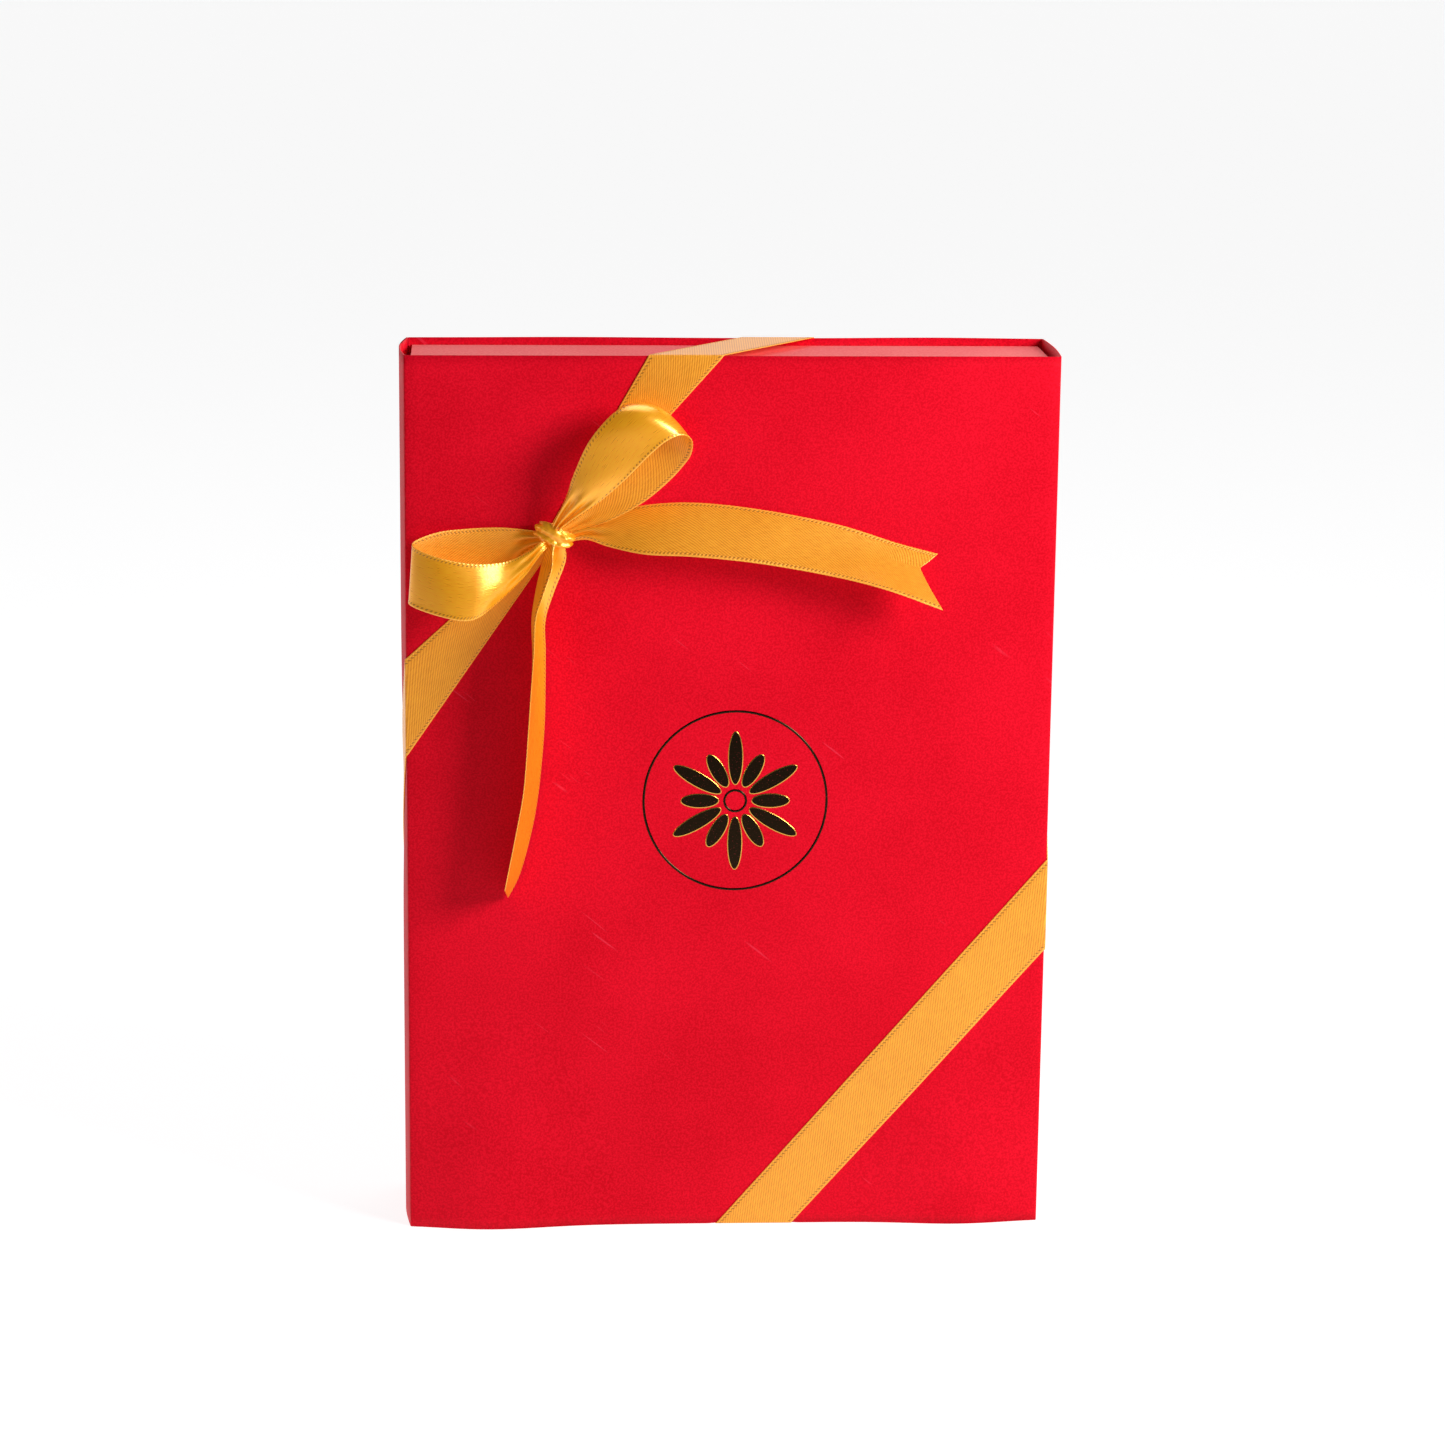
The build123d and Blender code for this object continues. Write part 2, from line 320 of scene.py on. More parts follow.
@dataclass(frozen=True)
class Satin:
    """One side of a woven satin ribbon, with stitched selvedges.

    The weave is read from the piece's own map, whose unit is the ribbon's width. twill is how
    much of the relief is slanting lines, from 0 to 1, and the rest is fine yarn. rim_end,
    row_start and row_end are where the rim and its row of stitches fade, in millimetres from
    the nearer edge. The rim is painted pale, a painted highlight along each selvedge, and where
    the relief is low the colour goes towards valley_shade, painted shade in the weave's grooves.
    The glow is a painted glow, an emission that stands for light that passes through the cloth.
    """

    width: float
    body: Colour
    # The darker colour for the weave's grooves is painted shade.
    valley_shade: Colour
    twill: float
    roughness: float
    coat: float
    lustre: float
    coat_roughness: float = 0.27
    pitch: float = 0.8 * MM
    twill_angle: float = 34.0
    flat_relief: float = 0.004 * MM
    twill_relief: float = 0.07 * MM
    stitch: float = 1.4 * MM
    rim_end: tuple[float, float] = (0.35, 0.6)
    row_start: tuple[float, float] = (0.55, 0.75)
    row_end: tuple[float, float] = (1.2, 1.45)
    thread: Colour = (138, 84, 22)
    # The pale rim colour is a painted highlight along each selvedge.
    bright: Colour = (254, 186, 74)
    # The glow colour is a painted glow, standing for light through the cloth.
    glow: Colour = (255, 156, 10)
    painted_glow_strength: float = 0.13

    def material(self, name: str) -> bpy.types.Material:
        """Make the finish a material.

        Args:
            name: The material's name.

        Returns:
            The material.
        """
        graph = Graph.new(name)
        weave = graph.node("ShaderNodeUVMap", {"uv_map": WEAVE_MAP})
        along, across, _ = graph.axes(weave)
        angle = math.radians(self.twill_angle)
        turns = math.tau * self.width / self.pitch
        lengthwise, crosswise = turns * math.sin(angle), turns * math.cos(angle)
        wander = graph.grain(weave, 0.9, 0.0) * 0.8
        lines = (along * lengthwise - across * crosswise + wander).sine()
        yarn = graph.grain(weave, 0.014, 0.0, (0.08, 1.0, 1.0))
        slub = graph.grain(weave, 0.6, 2.0, (1.0, 0.4, 1.0))
        inward = across.least(1 - across) * (self.width / MM)
        rim = 1 - inward.ramp(*self.rim_end)
        row = inward.ramp(*self.row_start) * (1 - inward.ramp(*self.row_end))
        spacing = math.tau * self.width / self.stitch
        stitches = (along * spacing + across * spacing).sine()
        fabric = lines * self.twill + yarn.ramp(0.3, 0.7) * (1 - self.twill)
        edge = rim + row
        height = graph.node("ShaderNodeMix", {"data_type": "FLOAT"},
                            {0: edge, 2: fabric, 3: stitches})
        # Painted shade: the colour goes darker where the weave's relief is low, mixed with random
        # slub tone.
        depth = (1 - fabric) * (0.25 + 0.7 * self.twill) + (slub - 0.5) * 0.25
        colour = graph.mix(depth, shade(*self.body), shade(*self.valley_shade))
        colour = graph.mix(row * 0.8 * (1 - stitches.ramp(0.3, 0.6)), colour, shade(*self.thread))
        # Painted highlight: the rim along each edge, and the stitches on it, are painted pale.
        colour = graph.mix(rim * (0.35 + stitches * 0.5), colour, shade(*self.bright))
        return graph.finish(
            height, self.flat_relief + self.twill_relief * self.twill, Base_Color=colour,
            Roughness=self.roughness + (yarn - 0.5) * 0.12 + edge * 0.1,
            Metallic=self.lustre, Coat_Weight=self.coat, Coat_Roughness=self.coat_roughness,
            # Painted glow: a weak emission stands for light that passes through the cloth.
            Emission_Color=shade(*self.glow), Emission_Strength=self.painted_glow_strength,
        )


@dataclass(frozen=True)
class PulpBoard:
    """Raw board or gummed paper: pulp mottle, long fibres and flecks."""

    base: Colour
    fleck: Colour
    roughness: float = 0.85
    relief: float = 0.06 * MM

    def material(self, name: str) -> bpy.types.Material:
        """Make the finish a material.

        Args:
            name: The material's name.

        Returns:
            The material.
        """
        graph = Graph.new(name)
        place = graph.place()
        pulp = graph.grain(place, 2.2 * MM, 4.0)
        fibres = graph.grain(place, 0.5 * MM, 2.0, (0.2, 1.0, 1.0))
        flecks = graph.grain(place, 0.8 * MM, 0.0).ramp(0.68, 0.74)
        dark = tuple(channel * 0.82 for channel in self.base)
        colour = graph.mix(pulp.ramp(0.3, 0.7), shade(*dark), shade(*self.base))
        colour = graph.mix(flecks * 0.7, colour, shade(*self.fleck))
        return graph.finish(
            pulp * 0.5 + fibres * 0.5, self.relief, Base_Color=colour,
            Roughness=self.roughness + (pulp - 0.5) * 0.2,
        )


@dataclass(frozen=True)
class ClearTape:
    """Double-sided tape: smooth, faintly wrinkled, with trapped air."""

    tint: Colour = (228, 214, 176)
    bubble: Colour = (246, 240, 222)
    relief: float = 0.03 * MM

    def material(self, name: str) -> bpy.types.Material:
        """Make the finish a material.

        Args:
            name: The material's name.

        Returns:
            The material.
        """
        graph = Graph.new(name)
        place = graph.place()
        wrinkles = graph.grain(place, 3 * MM, 2.0, (1.0, 1.0, 0.15))
        air = graph.grain(place, 1.5 * MM, 1.0).ramp(0.6, 0.66)
        colour = graph.mix(air * 0.6, shade(*self.tint), shade(*self.bubble))
        return graph.finish(wrinkles, self.relief, Base_Color=colour, Roughness=0.22 + air * 0.25)


@dataclass(frozen=True)
class Foil:
    """Hot-stamped foil: mirror-like, pressed into the card's grain and slightly worn."""

    metal: Colour
    roughness: float
    under: Colour = (150, 20, 30)
    relief: float = 0.015 * MM

    def material(self, name: str) -> bpy.types.Material:
        """Make the finish a material.

        Args:
            name: The material's name.

        Returns:
            The material.
        """
        graph = Graph.new(name)
        place = graph.place()
        pressed = graph.grain(place, 1.1 * MM, 2.0)
        worn = graph.grain(place, 0.5 * MM, 1.0).ramp(0.66, 0.72)
        colour = graph.mix(worn * 0.5, shade(*self.metal), shade(*self.under))
        return graph.finish(
            pressed, self.relief, Base_Color=colour, Metallic=1 - worn * 0.5,
            Roughness=self.roughness + (pressed - 0.5) * 0.12,
        )


@dataclass(frozen=True)
class StudioPaper:
    """The plain pale floor, lit from below, less in front."""

    glow: float
    front_glow: float = 0.22
    fade: tuple[float, float] = (-0.7, -0.28)
    tint: Colour = (149, 149, 150)
    tooth_tint: Colour = (140, 140, 141)

    def material(self, name: str) -> bpy.types.Material:
        """Make the finish a material.

        Args:
            name: The material's name.

        Returns:
            The material.
        """
        graph = Graph.new(name)
        place = graph.place()
        tooth = graph.grain(place, 1.5 * MM, 2.0)
        colour = graph.mix(tooth * 0.1, shade(*self.tint), shade(*self.tooth_tint))
        _, back, _ = graph.axes(place)
        dim = (self.front_glow, self.front_glow, self.front_glow, 1.0)
        glow = graph.mix(back.ramp(*self.fade), dim, (1.0, 1.0, 1.0, 1.0))
        return graph.finish(tooth, 0.02 * MM, Base_Color=colour, Roughness=0.8,
                            Specular_IOR_Level=0.1, Emission_Color=glow,
                            Emission_Strength=self.glow)


# --- Shared mesh work ---


def smooth_step(value: float) -> float:
    """0 to 1 with no corner at either end, held beyond."""
    held = min(1.0, max(0.0, value))
    return held * held * (3 - 2 * held)


def hump(value: float, centre: float, reach: float) -> float:
    """A bell of height 1 at its centre."""
    return math.exp(-(((value - centre) / reach) ** 2))


def through(points: list[Vector], where: float) -> Vector:
    """A smooth curve through points.

    Args:
        points: What the curve passes through.
        where: 0 at the first point, 1 at the second, and so on.

    Returns:
        The point on the curve.
    """
    last = len(points) - 1
    index = min(int(where), last - 1)
    share = where - index
    before = points[index - 1] if index else 2 * points[0] - points[1]
    after = points[index + 2] if index + 2 <= last else 2 * points[last] - points[last - 1]
    here, there = points[index], points[index + 1]
    bend = 2 * before - 5 * here + 4 * there - after
    twist = 3 * (here - there) + after - before
    return here + 0.5 * share * (there - before + share * (bend + share * twist))


def finished(mesh: bmesh.types.BMesh, name: str, body: str,
             materials: list[bpy.types.Material]) -> bpy.types.Object:
    """Turn a bmesh into a smooth piece that rides on a body.

    Args:
        mesh: The shape, in metres, in its place. It is freed.
        name: The piece's name.
        body: The body that it moves with.
        materials: Its material slots.

    Returns:
        The new object.
    """
    data = bpy.data.meshes.new(name)
    for face in mesh.faces:
        face.smooth = True
    mesh.to_mesh(data)
    mesh.free()
    piece = bpy.data.objects.new(name, data)
    bpy.context.scene.collection.objects.link(piece)
    for material in materials:
        data.materials.append(material)
    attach(piece, body)
    log.info("%s: %d faces on %s", name, len(data.polygons), body)
    return piece


def solidify(piece: bpy.types.Object, thickness: float, offset: float, back: int = 0) -> None:
    """Give a sheet its thickness.

    Args:
        piece: The sheet.
        thickness: In metres.
        offset: -1 to grow away from its normals, 0 to grow both ways.
        back: Material slots between a face and its other side.
    """
    wall = piece.modifiers.new("thickness", "SOLIDIFY")
    wall.thickness = thickness
    wall.offset = offset
    wall.material_offset = back
    wall.material_offset_rim = 0


# --- Sleeve ---


class Panel(Enum):
    """The sleeve's four panels, with the way that each one faces."""

    FRONT = (0, -1, 0)
    BACK = (0, 1, 0)
    LEFT = (-1, 0, 0)
    RIGHT = (1, 0, 0)

    @property
    def outward(self) -> Vector:
        """The way out from the panel."""
        return Vector(self.value)


@dataclass
class Sleeve:
    """The folded card sleeve, bowed as thin card is between its folds.

    Sizes are in metres. low and high are its box. A wave is where its middle is along x, how
    far it reaches and how far it stands out. pinch_height is where the ribbon holds the left
    side in, at the front and at the back, and pinch is how much of the bulge it takes away.
    """

    low: Vector
    high: Vector
    card: float = 0.5 * MM
    fold: float = 0.6 * MM
    flap: float = 16 * MM
    tape: float = 0.1 * MM
    seam: float = 0.2 * MM
    step: float = 4 * MM
    side_bulge: float = 2.1 * MM
    far_side_bulge: float = 0.9 * MM
    foot_waves: tuple[Place, ...] = ((-83 * MM, 26 * MM, 4.2 * MM), (83 * MM, 24 * MM, 3.2 * MM))
    foot_fade: float = 46 * MM
    rim_waves: tuple[Place, ...] = ((72 * MM, 30 * MM, 2.6 * MM), (-52 * MM, 34 * MM, 1.9 * MM))
    rim_fade: float = 60 * MM
    fold_hold: int = 10
    pinch: float = 0.45
    pinch_height: tuple[float, float] = (186 * MM, 118.5 * MM)
    pinch_reach: float = 26 * MM
    notch_rise: float = 0.3 * MM
    notch_edge: float = 2 * MM

    def bow(self, panel: Panel, place: Vector) -> float:
        """How far the card stands out from flat.

        Args:
            panel: The panel that the point is on.
            place: The flat point.

        Returns:
            The distance outwards.
        """
        width, depth = self.high.x, self.high.y
        if panel in (Panel.LEFT, Panel.RIGHT):
            belly = math.cos(math.pi / 2 * min(1.0, abs(place.y / depth)))
            if panel is Panel.RIGHT:
                return belly * self.far_side_bulge
            share = (place.y + depth) / (2 * depth)
            tied = self.pinch_height[0] * (1 - share) + self.pinch_height[1] * share
            held = 1 - self.pinch * hump(place.z, tied, self.pinch_reach)
            return belly * self.side_bulge * held
        held = 1 - abs(place.x / width) ** self.fold_hold
        foot = hump(place.z, 0.0, self.foot_fade)
        rim = hump(place.z, self.high.z, self.rim_fade)
        waves, fade = (self.foot_waves, foot) if panel is Panel.FRONT else (self.rim_waves, rim)
        out = sum(height * hump(place.x, centre, reach) for centre, reach, height in waves)
        return held * fade * out

    def panel_of(self, place: Vector) -> Panel:
        """Find the panel that a point is on.

        Args:
            place: A point on the flat sleeve.

        Returns:
            The nearest panel.
        """
        sides = {
            Panel.FRONT: abs(place.y - self.low.y), Panel.BACK: abs(place.y - self.high.y),
            Panel.LEFT: abs(place.x - self.low.x), Panel.RIGHT: abs(place.x - self.high.x),
        }
        return min(sides, key=sides.get)

    def build(self, material: bpy.types.Material, notches: list[Place]) -> None:
        """Fold the sleeve from one strip of card.

        Args:
            material: The card.
            notches: Where the foot is pressed up by the ribbon, as x, y and reach along x.
        """
        inset = self.card + self.tape
        corners = [
            (self.low.x + inset, self.high.y - self.flap),
            (self.low.x + inset, self.high.y),
            (self.high.x, self.high.y),
            (self.high.x, self.low.y),
            (self.low.x, self.low.y),
            (self.low.x, self.high.y - self.seam),
        ]
        mesh = bmesh.new()
        line = [mesh.verts.new((x, y, 0.0)) for x, y in corners]
        for pair in zip(line, line[1:]):
            mesh.edges.new(pair)
        bmesh.ops.bevel(mesh, geom=line[1:-1], offset=self.fold, affect="VERTICES", segments=3,
                        profile=0.5, material=-1)
        for run in mesh.edges[:]:
            cuts = int(run.calc_length() / self.step)
            if cuts:
                bmesh.ops.subdivide_edges(mesh, edges=[run], cuts=cuts)
        raised = bmesh.ops.extrude_edge_only(mesh, edges=mesh.edges[:])["geom"]
        tops = [part for part in raised if isinstance(part, bmesh.types.BMVert)]
        bmesh.ops.translate(mesh, verts=tops, vec=(0, 0, self.high.z))
        uprights = [edge for edge in mesh.edges
                    if abs(edge.verts[0].co.z - edge.verts[1].co.z) > MM]
        bmesh.ops.subdivide_edges(mesh, edges=uprights, cuts=int(self.high.z / self.step),
                                  use_grid_fill=True)
        mesh.normal_update()
        middle = Vector((0, 0, self.high.z / 2))
        facing = sum((face.calc_center_median() - middle).dot(face.normal) for face in mesh.faces)
        if facing < 0:
            bmesh.ops.reverse_faces(mesh, faces=mesh.faces[:])
        moves = {}
        for vert in mesh.verts:
            panel = self.panel_of(vert.co)
            moves[vert] = panel.outward * self.bow(panel, vert.co)
            for x, y, reach in notches:
                if abs(vert.co.y - y) < self.step and vert.co.z < self.step:
                    squeeze = smooth_step((reach - abs(vert.co.x - x)) / self.notch_edge + 0.5)
                    share = 1 - vert.co.z / self.step
                    moves[vert] += Vector((0, 0, self.notch_rise * squeeze * share))
        for vert, move in moves.items():
            vert.co += move
        piece = finished(mesh, "sleeve_card_shell", "sleeve", [material])
        solidify(piece, self.card, -1)
        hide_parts("sleeve")


@dataclass
class Ornament:
    """A plain stamped rosette of long and short petals in a ring, with sizes in metres."""

    centre: Vector
    petals: int = 12
    petal_length: float = 19 * MM
    short_petal: float = 0.7
    petal_width: float = 5.2 * MM
    petal_corners: int = 24
    ring_corners: int = 96
    eye: float = 3.3 * MM
    hub: float = 5.5 * MM
    ring: float = 31 * MM
    ring_width: float = 0.8 * MM
    lift: float = 0.04 * MM
    rim: float = 0.3 * MM

    def build(self, dark: bpy.types.Material, bright: bpy.types.Material) -> None:
        """Stamp the rosette.

        Args:
            dark: The foil's face, painted dark as a gold mirror foil looks when it reflects dark
                surroundings.
            bright: The foil's thin outline.
        """
        mesh = bmesh.new()
        upright = Matrix.Rotation(math.pi / 2, 4, "X")
        for index in range(self.petals):
            length = self.petal_length * (self.short_petal if index % 2 else 1.0)
            turn = Matrix.Rotation(math.tau * index / self.petals, 4, "Y")
            reach = Matrix.Translation((0, 0, self.hub + length / 2))
            size = Matrix.Diagonal((self.petal_width / 2, 1, length / 2, 1))
            bmesh.ops.create_circle(mesh, cap_ends=True, segments=self.petal_corners, radius=1.0,
                                    matrix=turn @ reach @ size @ upright)
        for radius in (self.eye, self.ring):
            rounds = [
                bmesh.ops.create_circle(mesh, segments=self.ring_corners, radius=radius + wider,
                                        matrix=upright)["verts"]
                for wider in (0.0, self.ring_width)
            ]
            edges = {edge for circle in rounds for vert in circle for edge in vert.link_edges}
            bmesh.ops.bridge_loops(mesh, edges=list(edges))
        bmesh.ops.recalc_face_normals(mesh, faces=mesh.faces[:])
        for face in mesh.faces:
            if face.normal.y > 0:
                face.normal_flip()
        petals = [face for face in mesh.faces if len(face.verts) > 4]
        rims = bmesh.ops.inset_individual(mesh, faces=petals, thickness=self.rim)["faces"]
        for face in rims:
            face.material_index = 1
        bmesh.ops.translate(mesh, verts=mesh.verts[:], vec=self.centre - Vector((0, self.lift, 0)))
        piece = finished(mesh, "foil_rosette", "sleeve", [dark, bright])
        solidify(piece, self.lift, -1)


# --- Ribbon ---


class Held(Enum):
    """How a length of ribbon is held."""

    STRETCHED = "stretched"
    GATHERED = "gathered"
    HUNG = "hung"


@dataclass(frozen=True)
class Ribbon:
    """The ribbon's own sizes, in metres, and its two sides.

    rows are where the lines along it lie, as shares of its width. The outer bead_rows of them,
    on each edge, carry the selvedge's beads, and columns_per_stitch lines cross each bead.
    """

    face: bpy.types.Material
    reverse: bpy.types.Material
    width: float = 20 * MM
    thickness: float = 0.25 * MM
    stitch: float = 1.4 * MM
    bead: float = 0.11 * MM
    bead_rows: int = 3
    columns_per_stitch: int = 4
    rows: tuple[float, ...] = (
        0.0, 0.016, 0.034, 0.052, 0.11, 0.18, 0.26, 0.34, 0.42, 0.5,
        0.58, 0.66, 0.74, 0.82, 0.89, 0.948, 0.966, 0.984, 1.0,
    )

    def strip(self, name: str, length: float, shape: Surface, held: Held,
              rests_on: list[str], nodes: list[str], turned: bool = False, share: float = 1.0,
              woven: Callable[[float, float], float] | None = None) -> bpy.types.Object:
        """Weave one length of ribbon along a shape.

        Args:
            name: The piece's name.
            length: The ribbon's flat length.
            shape: A function of (0 to 1 along, 0 to 1 across) that gives a point.
            held: How the ribbon is held. Not used.
            rests_on: What it lies on or hangs from. Not used.
            nodes: The nodes that it stands for.
            turned: Whether the glossy face is on the other side.
            share: The cut's area, as a share of width times length.
            woven: A function like shape that gives the distance along the ribbon, where its
                ends aren't square.

        Returns:
            The new piece.
        """
        columns = self.columns_per_stitch * round(length / self.stitch)
        mesh = bmesh.new()
        count = len(self.rows) - 1
        bmesh.ops.create_grid(mesh, x_segments=columns, y_segments=count, size=0.5)
        weave = mesh.loops.layers.uv.new(WEAVE_MAP)
        flat = {}
        for vert in mesh.verts:
            flat[vert] = (vert.co.x + 0.5, self.rows[round((vert.co.y + 0.5) * count)])
        for face in mesh.faces:
            for loop in face.loops:
                along, across = flat[loop.vert]
                reach = woven(along, across) if woven else along * length
                loop[weave].uv = (reach / self.width, across)
        for vert, (along, across) in flat.items():
            vert.co = shape(along, across)
        if turned:
            bmesh.ops.reverse_faces(mesh, faces=mesh.faces[:])
        mesh.normal_update()
        moves = {}
        for vert, (along, across) in flat.items():
            edge = min(across, 1 - across)
            if edge < self.rows[self.bead_rows]:
                beads = 0.5 + 0.5 * math.cos(math.tau * along * length / self.stitch)
                moves[vert] = vert.normal * self.bead * beads
        for vert, move in moves.items():
            vert.co += move
        piece = finished(mesh, name, "ribbon", [self.face, self.reverse])
        solidify(piece, self.thickness, 0, back=1)
        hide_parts(*nodes)
        self.width * length * share
        return piece


@dataclass
class RibbonRun:
    """The run of ribbon tied round the box, slanting over two corners.

    Sizes are in metres. neck is its width where the knot gathers it, gap its middle's distance
    from the card, foot_gap its height under the foot, and turn the length of card over which
    it rounds a fold. The rest say where its middle crosses each edge, along x or up z.
    """

    ribbon: Ribbon
    sleeve: Sleeve
    knot: Vector
    neck: float = 4.5 * MM
    gap: float = 0.32 * MM
    foot_gap: float = 0.14 * MM
    fold_gap: float = 0.24 * MM
    turn: float = 0.7 * MM
    left_front: float = 186 * MM
    top_front: float = -16 * MM
    top_back: float = 18 * MM
    right_back: float = 179 * MM
    right_front: float = 115.5 * MM
    bottom_front: float = 10 * MM
    bottom_back: float = -30 * MM
    left_back: float = 118.5 * MM

    def crossings(self) -> list[tuple[Vector, Vector, Vector]]:
        """List where the ribbon's middle crosses the box's edges.

        Returns:
            Each crossing's place, its edge's direction and the way out.
        """
        low, high = self.sleeve.low, self.sleeve.high
        up, right, back = Vector((0, 0, 1)), Vector((1, 0, 0)), Vector((0, 1, 0))
        return [
            (Vector((low.x, low.y, self.left_front)), up, -right - back),
            (Vector((self.top_front, low.y, high.z)), right, up - back),
            (Vector((self.top_back, high.y, high.z)), right, up + back),
            (Vector((high.x, high.y, self.right_back)), up, right + back),
            (Vector((high.x, low.y, self.right_front)), up, right - back),
            (Vector((self.bottom_front, low.y, 0)), right, -back),
            (Vector((self.bottom_back, high.y, 0)), right, back),
            (Vector((low.x, high.y, self.left_back)), up, back - right),
        ]

    def cuts(self) -> list[tuple[Vector, Vector, Vector]]:
        """Cut the run at its folds, from the knot round to it again.

        Returns:
            The ribbon's two edges at each cut, and the way out.
        """
        places = self.crossings()
        cuts = []
        for index, (middle, edge, out) in enumerate(places):
            beside = (places[index - 1][0], places[(index + 1) % len(places)][0])
            sines = [(other - middle).normalized().cross(edge).length for other in beside]
            reach = edge * (self.ribbon.width / 4 * (1 / sines[0] + 1 / sines[1]))
            cuts.append((middle - reach, middle + reach, out))
        along = (places[1][0] - places[0][0]).normalized()
        across = Vector((0, -1, 0)).cross(along) * (self.neck / 2)
        gathered = (self.knot - across, self.knot + across, Vector((0, -1, 0)))
        ordered = [gathered, *cuts[1:], cuts[0], gathered]
        turned = [ordered[0]]
        for low, high, out in ordered[1:]:
            before = turned[-1]
            straight = (low - before[0]).length + (high - before[1]).length
            crossed = (high - before[0]).length + (low - before[1]).length
            turned.append((high, low, out) if crossed < straight else (low, high, out))
        return turned

    def build(self) -> None:
        """Lay the run on the bowed card."""
        cuts = self.cuts()
        middles = [(low + high) / 2 for low, high, _ in cuts]
        lengths = [(there - here).length for here, there in zip(middles, middles[1:])]
        total = sum(lengths)
        starts = [sum(lengths[:index]) for index in range(len(lengths))]
        high = self.sleeve.high

        def spot(along: float, across: float) -> tuple[int, float, Vector]:
            """Find a point on the flat panels.

            Args:
                along: 0 to 1 along the run.
                across: 0 to 1 over its width.

            Returns:
                The stretch's number, the share of it and the point.
            """
            reach = along * total
            index = max(i for i, start in enumerate(starts) if reach >= start - SAME)
            share = min(1.0, (reach - starts[index]) / lengths[index])
            here, there = cuts[index], cuts[index + 1]
            first = here[0].lerp(there[0], share)
            second = here[1].lerp(there[1], share)
            return index, share, first.lerp(second, across)

        def woven(along: float, across: float) -> float:
            """Measure along the ribbon, whose folds are slanting.

            Args:
                along: 0 to 1 along the run.
                across: 0 to 1 over its width.

            Returns:
                The distance from its start.
            """
            index, _, flat = spot(along, across)
            ahead = (middles[index + 1] - middles[index]).normalized()
            return starts[index] + (flat - middles[index]).dot(ahead)

        def laid(along: float, across: float) -> Vector:
            """Lay a point on the bowed card.

            Args:
                along: 0 to 1 along the run.
                across: 0 to 1 over its width.

            Returns:
                The point.
            """
            index, share, flat = spot(along, across)
            level = abs(flat.z - high.z) < LEVEL or abs(flat.z) < LEVEL
            if level and 0 < share < 1:
                rise = self.gap if flat.z > high.z / 2 else self.foot_gap
                place = flat + Vector((0, 0, rise))
            else:
                panel = self.sleeve.panel_of(flat)
                place = flat + panel.outward * (self.sleeve.bow(panel, flat) + self.gap)
            for (_, _, out), near in ((cuts[index], share), (cuts[index + 1], 1 - share)):
                fold = 1 - smooth_step(near * lengths[index] / self.turn)
                between_panels = out.length > 1 + LEVEL
                if between_panels and fold > 0:
                    place = place.lerp(flat + out * self.fold_gap, fold)
            return place

        self.ribbon.strip("ribbon_round_box", total, laid, Held.STRETCHED,
                          ["sleeve_card_shell"], ["ribbon_wrap"], turned=True, woven=woven)


